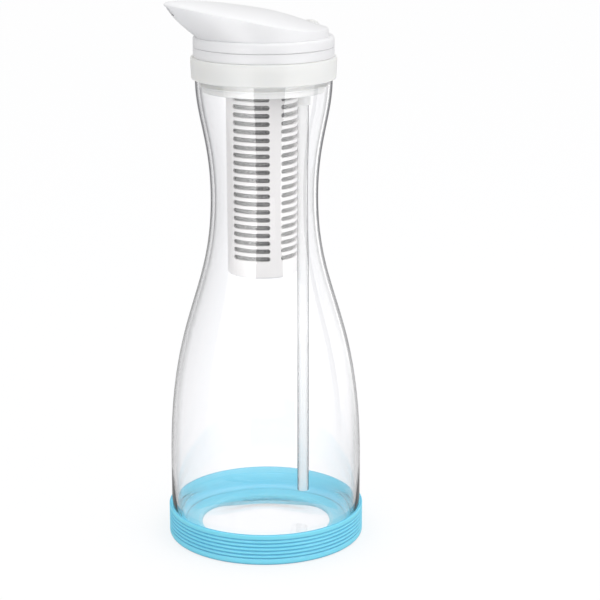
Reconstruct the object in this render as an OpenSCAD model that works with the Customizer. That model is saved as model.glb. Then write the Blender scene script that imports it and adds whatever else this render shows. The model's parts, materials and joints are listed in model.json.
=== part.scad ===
// Water filter carafe: a waisted glass carafe in a ribbed silicone boot, closed by a
// beaked pouring lid that carries a slotted filter cartridge and a long air tube.
// Millimetres, +Z up, origin on the table under the carafe's axis, beak towards -X.

/* [Carafe] */
// Outer diameter of the straight body
body_d = 109.8; // [106:0.2:114]
// Outer diameter of the waist
waist_d = 60.4; // [60:0.2:66]
// Outer diameter of the neck at the mouth
mouth_d = 76.2; // [75.6:0.2:78]
// Height at which the straight body starts to draw in
shoulder_z = 42; // [30:1:60]
// Height of the waist
waist_z = 200; // [190:1:210]
// Height at which the flared neck runs straight again
neck_z = 266; // [264:0.5:268]
// Height of the glass rim
rim_z = 275; // [274:0.5:278]
// Thickness of the glass wall
glass_t = 2.2; // [1.8:0.1:2.4]
// Thickness of the glass floor
glass_floor_t = 5; // [4:0.5:7]

/* [Boot] */
// Height of the silicone boot
boot_h = 18; // [17:0.5:24]
// Thickness of the boot's wall at the ribs
boot_t = 1.5; // [1.2:0.1:2.5]
// Thickness of the boot's floor
boot_floor_t = 2.5; // [2:0.5:4]
// Diameter of the window in the boot's floor
boot_window_d = 76; // [60:1:86]
// Number of grooves round the boot
groove_count = 6; // [3:1:6]
// Distance from groove to groove
groove_pitch = 2.2; // [1.6:0.1:2.4]

/* [Neck seal] */
// Outer diameter of the seal's collar
collar_d = 81; // [80.5:0.1:84]
// Height of the seal's collar outside the glass
collar_h = 12.2; // [10:0.2:16]
// Height of the skirt that reaches into the neck
seal_skirt_h = 19; // [16:0.5:20]

/* [Lid] */
// Outer diameter of the lid's two rings
lid_d = 78; // [76:0.2:79]
// Height of the lid base's ring
base_ring_h = 5.4; // [4.5:0.1:7]
// Height of the spout cap's ring
cap_ring_h = 5.8; // [5:0.1:8]
// Reach of the beak's tip from the lid's axis
beak_reach = 58; // [50:0.5:64]
// Rise of the beak's tip above the cap's ring
beak_rise = 19.6; // [16:0.2:24]
// Wall of the spout cap
cap_t = 2.2; // [1.8:0.1:2.6]

/* [Cartridge] */
// Outer diameter of the slotted cage at its top
cage_d = 40; // [38:0.2:40.4]
// Outer diameter of the cage at its foot
cage_foot_d = 39.2; // [38.6:0.2:40]
// Length of the cage
cage_h = 103.5; // [103:0.5:110]
// Rows of slots
slot_rows = 21; // [10:1:21]
// Distance from row to row
slot_pitch = 4.47; // [3.6:0.01:4.5]
// Height of a slot
slot_h = 2.7; // [1.5:0.1:3]
// Width of the upright bands at the left and right of the cage, in degrees
band_angle = 20; // [12:1:30]
// Width of the upright bands towards beak and tail, in degrees
parting_band_angle = 31; // [20:1:40]

/* [Air tube] */
// Outer diameter of the air tube
tube_d = 6.8; // [6:0.1:6.8]
// Bore of the air tube
tube_bore_d = 4.8; // [4:0.1:5.2]
// Height of the tube's open end above the table
tube_end_z = 20.7; // [20:0.1:40]

/* [Hidden] */
$fn = 96;

white = "white";
milky = [0.93, 0.93, 0.90, 0.75];
clear_glass = [0.85, 0.92, 0.95, 0.3];
pool_blue = [0.33, 0.76, 0.90];
slip = 0.1;              // gap where one piece seats in another of the same body
running = 0.2;           // gap where a piece slides in another

// Heights that follow from the driving dimensions
glass_z = boot_floor_t;              // underside of the glass
seat_z = rim_z + 3.6;                // top of the seal, where the lid sits
part_z = seat_z + base_ring_h;       // parting line between the lid's two rings
ring_z = part_z + cap_ring_h;        // top of the spout cap's ring
deck_t = 3;                          // thickness of the lid base's deck
deck_z = seat_z + deck_t;

// Radii
body_r = body_d / 2;
waist_r = waist_d / 2;
mouth_r = mouth_d / 2;
lid_r = lid_d / 2;
plug_r = 31.2;                       // plug of the lid base, inside the seal
plug_t = 2;
boot_r = body_r + slip + boot_t;

// Points on a cubic Bezier curve, without its first point
function bezier(a, b, c, d, steps) = [
    for (i = [1 : steps]) let (t = i / steps, u = 1 - t)
        u * u * u * a + 3 * u * u * t * b + 3 * u * t * t * c + t * t * t * d
];

// Points on an arc about a centre, without its first point
function arc(centre, r, from, to, steps) = [
    for (i = [1 : steps]) let (a = from + (to - from) * i / steps)
        centre + r * [cos(a), sin(a)]
];

function reversed(list) = [for (i = [len(list) - 1 : -1 : 0]) list[i]];

// Side of the glass from the shoulder to the neck, drawn in by inset
function glass_side(inset) =
    let (b = body_r - inset, w = waist_r - inset, m = mouth_r - inset,
         belly = 92, waist_below = 59, waist_above = 32, flare = 21)
    concat(
        [[b, shoulder_z]],
        bezier([b, shoulder_z], [b, shoulder_z + belly], [w, waist_z - waist_below], [w, waist_z], 28),
        bezier([w, waist_z], [w, waist_z + waist_above], [m, neck_z - flare], [m, neck_z], 16)
    );

// Carafe: blown glass with a shallow punt underneath and a rounded rim
module glass_carafe() {
    heel = 6;
    inner_heel = 9;
    punt_r = 34;
    punt_rim_r = 40;
    punt_h = 2.2;
    floor_z = glass_z + glass_floor_t;
    floor_dome = 1;
    inside_r = body_r - glass_t;
    rim_centre = [mouth_r - glass_t / 2, rim_z - glass_t / 2];
    outline = concat(
        [[0, glass_z + punt_h]],
        bezier([0, glass_z + punt_h], [punt_r * 0.6, glass_z + punt_h], [punt_r * 0.9, glass_z],
               [punt_rim_r, glass_z], 8),
        [[body_r - heel, glass_z]],
        arc([body_r - heel, glass_z + heel], heel, -90, 0, 6),
        glass_side(0),
        [[mouth_r, rim_centre.y]],
        arc(rim_centre, glass_t / 2, 0, 180, 8),
        reversed(glass_side(glass_t)),
        [[inside_r, floor_z + inner_heel]],
        arc([inside_r - inner_heel, floor_z + inner_heel], inner_heel, 0, -90, 8),
        [[0, floor_z + floor_dome]]
    );
    color(clear_glass) rotate_extrude() polygon(outline);
}

// Boot: a stretched-on silicone foot with scalloped ribs and a round window in its floor
module base_boot() {
    window_r = boot_window_d / 2;
    inside_r = body_r + slip;
    groove_t = 0.75;
    first_groove_z = 3.9;
    last_groove_z = first_groove_z + (groove_count - 1) * groove_pitch;
    rib_steps = 6;
    shoulder = 0.8;
    chamfer = 0.6;
    toe = 1.6;
    lip = 0.7;
    inner_fillet = 5;
    ribs = [
        for (i = [0 : (groove_count - 1) * rib_steps])
            [boot_r - groove_t * (1 - sin(180 * (i % rib_steps) / rib_steps)),
             first_groove_z + i * groove_pitch / rib_steps]
    ];
    outline = concat(
        [[window_r, 0], [boot_r - toe, 0]],
        arc([boot_r - toe, toe], toe, -90, 0, 5),
        [[boot_r, first_groove_z - shoulder]],
        ribs,
        [[boot_r, last_groove_z + shoulder], [boot_r, boot_h - lip]],
        arc([boot_r - lip, boot_h - lip], lip, 0, 90, 4),
        [[inside_r, boot_h], [inside_r, boot_floor_t + inner_fillet]],
        arc([inside_r - inner_fillet, boot_floor_t + inner_fillet], inner_fillet, 0, -90, 5),
        [[window_r + chamfer, boot_floor_t], [window_r, boot_floor_t - chamfer]]
    );
    color(pool_blue) rotate_extrude() polygon(outline);
}

// Seal: a translucent silicone ring that hooks over the rim and reaches into the neck with lips
module neck_seal() {
    collar_r = collar_d / 2;
    collar_bottom = seat_z - collar_h;
    skirt_bottom = seat_z - seal_skirt_h;
    grip_r = mouth_r + slip;
    throat_r = plug_r + running;
    skirt_r = mouth_r - glass_t - 1.6;
    lip_r = mouth_r - glass_t - 0.15;
    web_z = rim_z + slip;
    edge = 1.3;
    top_edge = 1.8;
    lip_pitch = 3.8;
    middle_lip_z = neck_z + 1.2;
    lips = [
        for (i = [-1 : 1], p = [[skirt_r, -0.9], [lip_r, -0.2], [lip_r, 0.2], [skirt_r, 0.9]])
            [p.x, middle_lip_z + i * lip_pitch + p.y]
    ];
    outline = concat(
        [[grip_r, collar_bottom + 0.4], [grip_r + 0.4, collar_bottom], [collar_r - edge - 0.4, collar_bottom]],
        arc([collar_r - edge - 0.4, collar_bottom + edge], edge, -90, -10, 4),
        [[collar_r, seat_z - top_edge - 0.9]],
        arc([collar_r - top_edge, seat_z - top_edge], top_edge, 0, 90, 5),
        [[throat_r + 0.5, seat_z], [throat_r, seat_z - 0.5], [throat_r, skirt_bottom + 1]],
        arc([throat_r + 1, skirt_bottom + 1], 1, 180, 270, 4),
        [[skirt_r - 1, skirt_bottom]],
        arc([skirt_r - 1, skirt_bottom + 1], 1, -90, 0, 4),
        lips,
        [[skirt_r, web_z], [grip_r, web_z]]
    );
    color(milky) rotate_extrude() polygon(outline);
}

// Cartridge and tube places in the lid
cartridge_x = -1.3;
tube_x = 23.8;
socket_r = 13.2;                     // bore that takes the cartridge's spigot
socket_t = 2.2;
socket_z = 266;                      // open end of that socket
outlet_r = 9.5;                      // way for filtered water through head and deck
chimney_x = 25.9;                    // air chamber over the tube, under the vent
chimney_r = 6.1;
chimney_t = 1.5;
grommet_r = 4.3;
grommet_top_z = 272;
tube_top_z = 261;
upstand_r = 35.4;                    // ring of the lid base that centres the spout cap
upstand_t = 1.8;
upstand_z = ring_z - 2.4;
gasket_r = 36.9;                     // gasket in a groove of the lid base's ring
gasket_wire_r = 0.55;

// Lid base: ring, deck, plug, cartridge socket and tube boss in one white moulding
module lid_base() {
    ring_edge = 0.5;
    boss_r = 6;
    boss_z = 263.5;
    plug_z = seat_z - seal_skirt_h + 1.4;
    groove_half = gasket_wire_r + slip;
    groove_z = part_z - 2 * gasket_wire_r;
    color(white) difference() {
        union() {
            rotate_extrude() polygon([
                [0, seat_z], [plug_r - plug_t, seat_z],
                [plug_r - plug_t, plug_z + 1], [plug_r - plug_t + 0.6, plug_z], [plug_r - 0.8, plug_z],
                [plug_r, plug_z + 0.8], [plug_r, seat_z],
                [lid_r - ring_edge, seat_z], [lid_r, seat_z + ring_edge],
                [lid_r, part_z - ring_edge], [lid_r - ring_edge, part_z],
                [gasket_r + groove_half, part_z], [gasket_r + groove_half, groove_z],
                [gasket_r - groove_half, groove_z], [gasket_r - groove_half, part_z],
                [upstand_r, part_z], [upstand_r, upstand_z - 0.5], [upstand_r - 0.5, upstand_z],
                [upstand_r - upstand_t, upstand_z], [upstand_r - upstand_t, deck_z], [0, deck_z]
            ]);
            translate([cartridge_x, 0, socket_z]) cylinder(r = socket_r + socket_t, h = seat_z - socket_z + 1);
            translate([tube_x, 0, boss_z]) cylinder(r = boss_r, h = seat_z - boss_z + 1);
            translate([chimney_x, 0, deck_z - 1]) cylinder(r = chimney_r + chimney_t, h = part_z - deck_z + 1);
        }
        translate([cartridge_x, 0, socket_z - 1]) cylinder(r = socket_r, h = seat_z - socket_z + 1);
        translate([cartridge_x, 0, seat_z - 1]) cylinder(r = outlet_r, h = deck_t + 2);
        translate([tube_x, 0, boss_z - 1]) cylinder(r = grommet_r + 0.05, h = grommet_top_z - boss_z + 1);
        translate([tube_x, 0, boss_z]) cylinder(r = tube_bore_d / 2, h = deck_z - boss_z + 1);
        translate([chimney_x, 0, deck_z]) cylinder(r = chimney_r, h = part_z - deck_z + 1);
    }
}

// Form of the spout cap. An angle runs from 0 at the beak to 180 at the tail.
// The roof's edge lies on a sheet that is level at the tail and rises evenly to the beak.
tail_r = 35.5;
foot_r = 36.3;                       // beak body where it leaves the ring
foot_z = ring_z - 1.4;
tail_rise = 3.8;                     // level part of the sheet above the ring
bend_x = 13.8;                       // where the sheet bends up
bend_w = 7.2;                        // how gently it bends
crown_rise = 7.5;                    // bulge of the roof over that sheet
beak_puff = 0.72;                    // how slim the bulge gets towards the beak's edge
tail_puff = 1.3;                     // the same towards the tail's edge
beak_spread = 26;                    // angle over which the beak tapers off
tip_round = 3;
bow = 0.1;                           // outward swell of the side

// Each form is [reach, tail radius, foot radius, foot height, drop below the outer skin]
outer_form = [beak_reach, tail_r, foot_r, foot_z, 0];
inner_form = [beak_reach - 7, tail_r - cap_t, foot_r - cap_t, foot_z - 2, cap_t];

// Height of the sheet at a distance s from the axis towards the beak
function bend(s) = ln(1 + exp((s + bend_x) / bend_w));
function sheet_z(s) = ring_z + tail_rise + (beak_rise - tail_rise) * bend(s) / bend(beak_reach);
function edge_r(f, a) =
    f[1] + (f[0] - f[1]) * exp(-(sqrt(a * a + tip_round * tip_round) - tip_round) / beak_spread);
function puff(a) = beak_puff + (tail_puff - beak_puff) * pow((1 - cos(a)) / 2, 3);
function side_point(f, a, v) =
    let (e = edge_r(f, abs(a)), r = f[2] + (e - f[2]) * (v + bow * sin(180 * v)))
    [-r * cos(a), r * sin(a), f[3] + (sheet_z(e * cos(a)) - f[4] - f[3]) * v];
function roof_point(f, a, t) =
    let (r = t * edge_r(f, abs(a)), s = r * cos(a))
    [-s, r * sin(a), sheet_z(s) - f[4] + crown_rise * pow(1 - t * t, puff(a))];
function roof_z(s) =
    let (a = s < 0 ? 180 : 0)
    roof_point(outer_form, a, abs(s) / edge_r(outer_form, a)).z;

// Closed loft of one form: rings up the side, over the softened edge and in to the crown
module beak_loft(f, half_steps, side_steps, roof_steps) {
    soft = 0.03;
    angles = [for (k = [-half_steps : half_steps - 1]) sign(k) * 180 * pow(abs(k) / half_steps, 1.5)];
    count = len(angles);
    rings = concat(
        [for (i = [0 : side_steps]) [for (a = angles) side_point(f, a, (1 - soft) * i / side_steps)]],
        [for (i = [0 : roof_steps - 1]) [for (a = angles) roof_point(f, a, (1 - soft) * (1 - i / roof_steps))]]
    );
    points = concat([for (ring = rings, p = ring) p], [[0, 0, f[3]], roof_point(f, 0, 0)]);
    last = len(rings) - 1;
    floor_centre = len(points) - 2;
    crown = len(points) - 1;
    faces = concat(
        [for (i = [0 : last - 1], k = [0 : count - 1], side = [0, 1])
            let (n = (k + 1) % count, a = i * count + k, b = i * count + n, c = a + count, d = b + count)
            side == 0 ? [a, b, d] : [a, d, c]],
        [for (k = [0 : count - 1]) [(k + 1) % count, k, floor_centre]],
        [for (k = [0 : count - 1]) [last * count + k, last * count + (k + 1) % count, crown]]
    );
    polyhedron(points, faces);
}

// Vent in the roof at the tail
vent_x = 29.4;
vent_z = roof_z(-vent_x);
vent_tilt = atan((roof_z(-vent_x + 1) - roof_z(-vent_x - 1)) / 2);
vent_hole_r = 2.5;

module at_vent() {
    translate([vent_x, 0, vent_z]) rotate([0, vent_tilt, 0]) children();
}

// Pouring mouth: a hole with round corners through the tip, under the roof
module mouth_hole() {
    mouth_h = 4.6;
    mouth_w = 4.4;
    corner = 0.5;
    mouth_z = ring_z + beak_rise - 4.4;
    reach_in = beak_reach - 14;
    depth = 20;
    translate([-reach_in, 0, mouth_z]) rotate([0, -90, 0]) linear_extrude(depth)
        polygon([
            for (q = [[1, 1, 0], [-1, 1, 90], [-1, -1, 180], [1, -1, 270]], a = [0 : 22.5 : 90])
                [q.x * (mouth_h / 2 - corner) + corner * cos(q.z + a),
                 q.y * (mouth_w / 2 - corner) + corner * sin(q.z + a)]
        ]);
}

// Spout cap: hollow beak on a ring, with an air chamber walled off at the tail
module spout_cap() {
    cap_z = part_z + slip;
    ring_round = 1.6;
    socket_r_in = upstand_r + slip;
    color(white) difference() {
        union() {
            rotate_extrude() polygon(concat(
                [[0, cap_z], [lid_r - 0.5, cap_z], [lid_r, cap_z + 0.5], [lid_r, ring_z - ring_round]],
                arc([lid_r - ring_round, ring_z - ring_round], ring_round, 0, 90, 6),
                [[0, ring_z]]
            ));
            beak_loft(outer_form, 26, 7, 7);
        }
        difference() {
            union() {
                translate([0, 0, cap_z - 1]) cylinder(r = socket_r_in, h = upstand_z + slip - cap_z + 1);
                beak_loft(inner_form, 20, 4, 5);
            }
            translate([chimney_x, 0, cap_z - 2]) difference() {
                cylinder(r = chimney_r + chimney_t, h = 40);
                translate([0, 0, -1]) cylinder(r = chimney_r, h = 42);
            }
        }
        mouth_hole();
        at_vent() translate([0, 0, -6]) cylinder(r = vent_hole_r, h = 12);
    }
}

// Gasket between the lid base's ring and the spout cap, proud of its groove by half the gap
module cap_gasket() {
    color(milky) rotate_extrude()
        translate([gasket_r, part_z - gasket_wire_r + slip / 2]) circle(r = gasket_wire_r, $fn = 32);
}

// Vent valve: a silicone button with an air hole and a duckbill under the roof
module vent_valve() {
    dome_r = 4;
    dome_h = 1.5;
    ball_r = (dome_r * dome_r + dome_h * dome_h) / (2 * dome_h);
    neck_r = vent_hole_r - 0.05;
    neck_h = 4;
    bill_h = 3.4;
    bill_tip = 0.9;
    air_r = 1.1;
    lift = 0.15;
    color(milky) at_vent() translate([0, 0, lift]) difference() {
        union() {
            intersection() {
                translate([0, 0, dome_h - ball_r]) sphere(r = ball_r);
                cylinder(r = dome_r + 1, h = dome_h + 1);
            }
            translate([0, 0, -neck_h]) cylinder(r = neck_r, h = neck_h + 0.5);
            translate([0, 0, -neck_h]) rotate([90, 0, 0]) linear_extrude(2 * air_r + 1.4, center = true)
                polygon([[-neck_r + 0.3, 0.5], [-bill_tip / 2, -bill_h], [bill_tip / 2, -bill_h], [neck_r - 0.3, 0.5]]);
        }
        translate([0, 0, -neck_h]) cylinder(r = air_r, h = neck_h + dome_h + 1);
        translate([-0.15, -air_r, -neck_h - bill_h - 1]) cube([0.3, 2 * air_r, bill_h + 2]);
    }
}

// Grommet: a silicone sleeve that holds the air tube in the lid base's boss
module tube_grommet() {
    mouth_z = 250;
    color(milky) translate([tube_x, 0, 0]) rotate_extrude() polygon([
        [tube_d / 2 + 0.05, mouth_z], [grommet_r - 0.4, mouth_z], [grommet_r, mouth_z + 0.4],
        [grommet_r, grommet_top_z - 0.1], [tube_bore_d / 2, grommet_top_z - 0.1],
        [tube_bore_d / 2, tube_top_z + slip], [tube_d / 2 + 0.05, tube_top_z + slip]
    ]);
}

// Air tube: open at both ends, hanging from the lid to just above the glass floor
module air_tube() {
    color(clear_glass) translate([tube_x, 0, tube_end_z]) rotate_extrude() polygon([
        [tube_bore_d / 2, 0.3], [tube_bore_d / 2 + 0.3, 0], [tube_d / 2 - 0.3, 0], [tube_d / 2, 0.3],
        [tube_d / 2, tube_top_z - tube_end_z], [tube_bore_d / 2, tube_top_z - tube_end_z]
    ]);
}

// Cartridge heights
head_z = 260;                        // underside of the head's flange, on top of the cage
head_t = 3;
cage_z = head_z - cage_h;
cage_in_r = 18.2;
first_slot_z = 257.2;
o_ring_z = 271.2;
o_ring_wire_r = 0.85;
spigot_r = socket_r - 0.3;
spigot_z = 276.5;
pad_t = 2.2;
sleeve_t = 0.3;
cap_disc_z = cage_z + 1.5;
cap_disc_t = 3;
media_z = cap_disc_z + cap_disc_t + pad_t;
media_r = cage_in_r - slip - sleeve_t - slip;
head_skirt_r = cage_in_r - slip;     // ring under the head that centres the cage and holds the upper pad
head_skirt_t = 1.6;
head_skirt_z = head_z - slip - pad_t;
media_top_z = head_skirt_z - slip;

module on_cartridge_axis() {
    translate([cartridge_x, 0, 0]) children();
}

// Head: flange that closes the cage and the spigot that screws into the lid
module cartridge_head() {
    groove_r = spigot_r - 1.6;
    groove_half = o_ring_wire_r + 0.25;
    flange_r = cage_d / 2 + 0.2;
    edge = 0.6;
    grid_t = 1.6;
    grid_h = 2.2;
    color(white) on_cartridge_axis() {
        rotate_extrude() polygon([
            [outlet_r, head_z], [head_skirt_r - head_skirt_t, head_z],
            [head_skirt_r - head_skirt_t, head_skirt_z], [head_skirt_r, head_skirt_z],
            [head_skirt_r, head_z], [flange_r - edge, head_z], [flange_r, head_z + edge],
            [flange_r, head_z + head_t - edge], [flange_r - edge, head_z + head_t], [spigot_r, head_z + head_t],
            [spigot_r, o_ring_z - groove_half], [groove_r, o_ring_z - groove_half],
            [groove_r, o_ring_z + groove_half], [spigot_r, o_ring_z + groove_half],
            [spigot_r, spigot_z - edge], [spigot_r - edge, spigot_z], [outlet_r, spigot_z]
        ]);
        for (a = [0, 90])
            rotate(a) translate([-outlet_r - edge, -grid_t / 2, head_z])
                cube([2 * (outlet_r + edge), grid_t, grid_h]);
    }
}

// O-ring on the head's spigot
module cartridge_o_ring() {
    color(milky) on_cartridge_axis() rotate_extrude()
        translate([socket_r - 0.05 - o_ring_wire_r, o_ring_z]) circle(r = o_ring_wire_r, $fn = 32);
}

// One slot with round ends, cut along its column's own direction
module cage_slot(span) {
    end_r = slot_h / 2;
    half_w = cage_d / 2 * sin(span / 2) - end_r;
    from_r = cage_in_r * cos(span / 2) - 1.5;
    outline = concat(
        [[-end_r, half_w]], arc([0, half_w], end_r, 180, 0, 6),
        [[end_r, -half_w]], arc([0, -half_w], end_r, 0, -180, 6)
    );
    rotate([0, 90, 0]) translate([0, 0, from_r]) linear_extrude(cage_d / 2 - from_r + 1) polygon(outline);
}

// Cage: slotted sleeve round the filter media, barely fluted with one band of wall to each row
module cartridge_cage() {
    top_r = cage_d / 2;
    bottom_r = cage_foot_d / 2;
    toe = 1.2;
    edge = 0.4;
    columns = 4;
    span = 360 / columns - (band_angle + parting_band_angle) / 2;
    shift = (parting_band_angle - band_angle) / 4;
    flute = 0.05;
    lowest_z = first_slot_z - (slot_rows - 0.5) * slot_pitch;
    outside = [
        for (row = [0 : slot_rows])
            let (z = lowest_z + row * slot_pitch)
            [bottom_r + (top_r - bottom_r) * (z - cage_z) / cage_h - flute * (row % 2), z]
    ];
    inside = [for (row = [slot_rows : -1 : 0]) [cage_in_r + flute * (row % 2), lowest_z + row * slot_pitch]];
    color(white) on_cartridge_axis() difference() {
        rotate_extrude() polygon(concat(
            [[cage_in_r, cage_z + edge], [cage_in_r + edge, cage_z], [bottom_r - toe, cage_z]],
            arc([bottom_r - toe, cage_z + toe], toe, -90, 0, 5),
            outside, [[top_r, head_z], [cage_in_r, head_z]], inside
        ));
        for (column = [0 : columns - 1], row = [0 : slot_rows - 1])
            rotate((column + 0.5) * 360 / columns + shift * (1 - 2 * (column % 2)))
                translate([0, 0, first_slot_z - row * slot_pitch]) cage_slot(span);
    }
}

// Sleeve of fine mesh lining the cage
module mesh_sleeve() {
    r = cage_in_r - slip;
    color("silver") on_cartridge_axis() translate([0, 0, cap_disc_z + cap_disc_t]) difference() {
        cylinder(r = r, h = media_top_z - cap_disc_z - cap_disc_t);
        translate([0, 0, -1]) cylinder(r = r - sleeve_t, h = cage_h);
    }
}

// Bed of filter granules between the two pads
module filter_granules() {
    color("dimgray") on_cartridge_axis() translate([0, 0, media_z]) cylinder(r = media_r, h = media_top_z - media_z);
}

module upper_pad() {
    color("whitesmoke") on_cartridge_axis() translate([0, 0, head_skirt_z])
        cylinder(r = head_skirt_r - head_skirt_t - slip, h = pad_t);
}

module lower_pad() {
    color("whitesmoke") on_cartridge_axis() translate([0, 0, media_z - pad_t]) cylinder(r = media_r, h = pad_t);
}

// End cap: disc that closes the foot of the cage, with a finger recess underneath
module end_cap() {
    r = cage_in_r - slip;
    color(white) on_cartridge_axis() translate([0, 0, cap_disc_z]) difference() {
        rotate_extrude() polygon([
            [0, 1.2], [r - 4, 1.2], [r - 3, 0], [r - 0.4, 0], [r, 0.4], [r, cap_disc_t], [0, cap_disc_t]
        ]);
        translate([0, 0, -1]) cylinder(r = 3, h = 2.8);
    }
}

glass_carafe();
base_boot();
neck_seal();
lid_base();
spout_cap();
cap_gasket();
vent_valve();
tube_grommet();
cartridge_o_ring();
cartridge_head();
cartridge_cage();
mesh_sleeve();
filter_granules();
upper_pad();
lower_pad();
end_cap();
air_tube();
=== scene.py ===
# %% [markdown]
# # A water filter carafe
# The object is a waisted glass carafe in a ribbed silicone boot. Its white lid has a pouring beak, and a
# slotted filter cartridge and an air tube hang from it into the glass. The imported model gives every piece
# its place, in metres, so this lesson only makes surfaces and finishes. Nothing here moves or resizes a
# part.

# %% Load the frame
import json
import math

import bmesh
import bpy
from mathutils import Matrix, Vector

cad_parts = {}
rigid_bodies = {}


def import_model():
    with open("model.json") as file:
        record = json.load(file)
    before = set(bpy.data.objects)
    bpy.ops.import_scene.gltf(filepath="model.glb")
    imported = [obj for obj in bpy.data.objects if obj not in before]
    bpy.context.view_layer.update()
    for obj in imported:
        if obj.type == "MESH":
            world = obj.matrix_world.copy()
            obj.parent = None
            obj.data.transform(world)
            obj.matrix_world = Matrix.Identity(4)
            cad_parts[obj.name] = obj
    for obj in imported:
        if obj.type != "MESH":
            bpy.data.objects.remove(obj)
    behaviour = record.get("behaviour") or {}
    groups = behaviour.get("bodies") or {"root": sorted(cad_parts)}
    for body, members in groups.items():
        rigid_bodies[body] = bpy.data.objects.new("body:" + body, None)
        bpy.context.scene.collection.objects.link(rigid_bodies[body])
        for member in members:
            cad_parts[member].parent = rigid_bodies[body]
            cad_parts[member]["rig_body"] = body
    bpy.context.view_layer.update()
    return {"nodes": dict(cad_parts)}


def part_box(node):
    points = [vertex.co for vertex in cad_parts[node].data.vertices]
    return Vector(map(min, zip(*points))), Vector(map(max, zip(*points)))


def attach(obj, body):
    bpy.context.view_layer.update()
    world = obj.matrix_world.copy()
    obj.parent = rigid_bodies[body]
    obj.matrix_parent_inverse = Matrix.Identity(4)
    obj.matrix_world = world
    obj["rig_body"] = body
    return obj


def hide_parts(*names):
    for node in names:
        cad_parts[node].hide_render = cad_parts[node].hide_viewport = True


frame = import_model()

print("nodes in the frame:", sorted(frame["nodes"]))

# %% [markdown]
# ## Camera
# The camera comes first, because every later choice is judged through it. It stands at the height,
# distance and heading at which the rims of boot, collar and lid make the same ellipses as in the
# photograph. A camera's lens follows from the focal length in pixels and the width of the picture.

# %% Camera
PICTURE_PX = 600
FOCAL_PX = 1840
SENSOR_MM = 36
CAMERA_AZIMUTH = math.radians(-22)
CAMERA_PITCH = math.radians(15.09)
CAMERA_YAW = math.radians(1.13)
CAMERA_DISTANCE = 1.0139
CAMERA_HEIGHT = 0.4124


def new_object(name, data):
    """An object for a mesh, a lamp or a camera, linked to the scene."""
    obj = bpy.data.objects.new(name, data)
    bpy.context.scene.collection.objects.link(obj)
    return obj


lens = bpy.data.cameras.new("camera")
lens.sensor_width = SENSOR_MM
lens.lens = SENSOR_MM * FOCAL_PX / PICTURE_PX
camera = new_object("camera", lens)
camera.location = (
    CAMERA_DISTANCE * math.sin(CAMERA_AZIMUTH),
    -CAMERA_DISTANCE * math.cos(CAMERA_AZIMUTH),
    CAMERA_HEIGHT,
)
camera.rotation_euler = (math.pi / 2 - CAMERA_PITCH, 0, CAMERA_AZIMUTH - CAMERA_YAW)
bpy.context.scene.camera = camera
bpy.context.scene.view_settings.view_transform = "Standard"
print(f"camera lens {lens.lens:.1f} mm")

# %% [markdown]
# ## Sums of sockets
# A finish is a small sum: a mask here, a shade there. Written as nodes and links, such a sum is hard to
# read. So one class wraps a socket and gives it Python's operators, and each operator adds a Math node. A
# second class holds the tree and has one method that adds any other node. Shaders and Geometry Nodes
# share both, because they share the Math node.


# %% Sums of sockets
def operator(name, swapped=False):
    """An operator that adds a Math node, with its two values swapped for Python's reflected form."""

    def apply(self, other):
        first, second = (other, self) if swapped else (self, other)
        return self.graph.node("ShaderNodeMath", {0: first, 1: second}, operation=name)

    return apply


class Wire:
    """An output of a node that can be used in arithmetic."""

    def __init__(self, graph, socket):
        self.graph = graph
        self.socket = socket

    __add__ = operator("ADD")
    __radd__ = operator("ADD", swapped=True)
    __sub__ = operator("SUBTRACT")
    __rsub__ = operator("SUBTRACT", swapped=True)
    __mul__ = operator("MULTIPLY")
    __rmul__ = operator("MULTIPLY", swapped=True)
    __truediv__ = operator("DIVIDE")
    __rtruediv__ = operator("DIVIDE", swapped=True)
    __pow__ = operator("POWER")
    __mod__ = operator("MODULO")
    __lt__ = operator("LESS_THAN")
    log = operator("LOGARITHM")
    at_least = operator("MAXIMUM")
    at_most = operator("MINIMUM")

    def of(self, operation):
        """A Math node of one value, such as SINE or ABSOLUTE."""
        return self.graph.node("ShaderNodeMath", {0: self}, operation=operation)

    def output(self, name):
        """Another output of the node that this wire comes from."""
        return Wire(self.graph, self.socket.node.outputs[name])


class Graph:
    """A node tree, with the one method that adds nodes to it."""

    def __init__(self, tree):
        self.tree = tree

    def node(self, kind, inputs=(), output=0, **settings):
        node = self.tree.nodes.new(kind)
        for name, value in settings.items():
            if name == "stops":
                self.set_stops(node.color_ramp, value)
            else:
                setattr(node, name, value)
        for name, value in dict(inputs).items():
            for item in value if isinstance(value, list) else [value]:
                if isinstance(item, Wire):
                    self.tree.links.new(item.socket, node.inputs[name])
                else:
                    node.inputs[name].default_value = item
        return Wire(self, node.outputs[output]) if len(node.outputs) else node

    @staticmethod
    def set_stops(ramp, stops):
        while len(ramp.elements) < len(stops):
            ramp.elements.new(1.0)
        for element, (place, shade) in zip(ramp.elements, stops):
            element.position = place
            element.color = (shade, shade, shade, 1.0)


def shade(red, green, blue):
    """A colour as a screen shows it, from 0 to 255, as the linear colour that a shader takes."""
    parts = (red / 255, green / 255, blue / 255)
    linear = [part / 12.92 if part <= 0.04045 else ((part + 0.055) / 1.055) ** 2.4 for part in parts]
    return (*linear, 1.0)


print("middle grey on a screen is", round(shade(128, 128, 128)[0], 3), "to a shader")

# %% [markdown]
# ## Stage
# White and clear things on white show only through soft shadows and dark edges. Floor and sky are white
# to the camera and, a little more, to rays that come through the glass, because its four surfaces take an
# eighth of the light. In a mirror they are darker, so that the gloss on the glass stays low. The paper
# itself is pale grey and throws little light up, so the beak's leaning sides stay darker than its roof,
# and its own glow is just strong enough to make the open floor white again.

# %% Stage
WHITE = (1, 1, 1, 1)
FLOOR_SIZE = 40.0
FLOOR_LIFT = 0.6
FLOOR_GLOW = 1.185
PAPER = shade(215, 215, 216)
MIRRORED_FLOOR = 0.17
SKY_LEVEL = 0.86
MIRRORED_SKY = 0.35
THROUGH_GLASS = 1.12


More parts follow.
